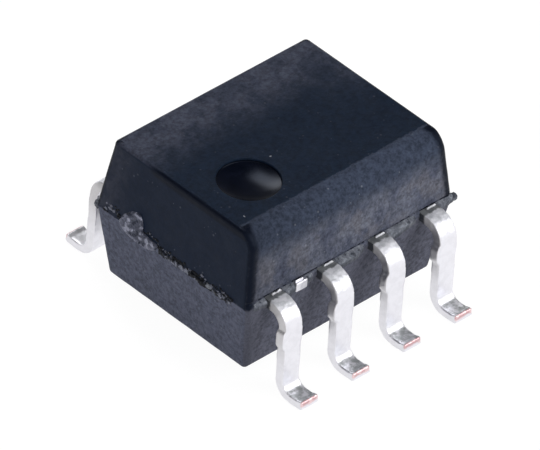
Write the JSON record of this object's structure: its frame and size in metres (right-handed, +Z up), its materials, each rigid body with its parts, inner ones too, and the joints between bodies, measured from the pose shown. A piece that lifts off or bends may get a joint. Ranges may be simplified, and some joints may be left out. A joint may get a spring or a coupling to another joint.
{
  "type": "small-outline optocoupler chip, eight gull-wing leads",
  "caption": "Black moulded surface-mount optocoupler chip with eight tinned gull-wing leads and a round lead-1 recess.",
  "frame": {"origin": "middle of the eight feet's footprint, on the plane that the feet stand on", "axes": "+Z up from the board, +X along the lead rows from lead 1 towards lead 4, -Y towards leads 1 to 4"},
  "size_m": [0.0052, 0.0062, 0.0033],
  "materials": {
    "mould_compound": "matt black epoxy with a fine grain",
    "tinned_copper": "satin tin plating over copper alloy",
    "silicon": "polished",
    "led_crystal": "polished",
    "die_adhesive": "silver-filled, matt",
    "polyimide": "clear amber film",
    "silicone": "clear gel",
    "gold_wire": "bright gold"
  },
  "bodies": {
    "root": {"moulded_body": "mould_compound", "lead_1": "tinned_copper", "lead_2": "tinned_copper", "lead_3": "tinned_copper", "lead_4": "tinned_copper", "lead_5": "tinned_copper", "lead_6": "tinned_copper", "lead_7": "tinned_copper", "lead_8": "tinned_copper", "led_chip": "led_crystal", "driver_chip": "silicon", "detector_chip": "silicon", "led_die_bond": "die_adhesive", "driver_die_bond": "die_adhesive", "detector_die_bond": "die_adhesive", "insulating_film": "polyimide", "silicone_light_guide": "silicone", "supply_wire_in": "gold_wire", "signal_wire_in": "gold_wire", "ground_wire_in": "gold_wire", "led_cathode_wire": "gold_wire", "led_anode_wire": "gold_wire", "supply_wire_out": "gold_wire", "signal_wire_out": "gold_wire", "ground_wire_out": "gold_wire"}
  },
  "joints": []
}
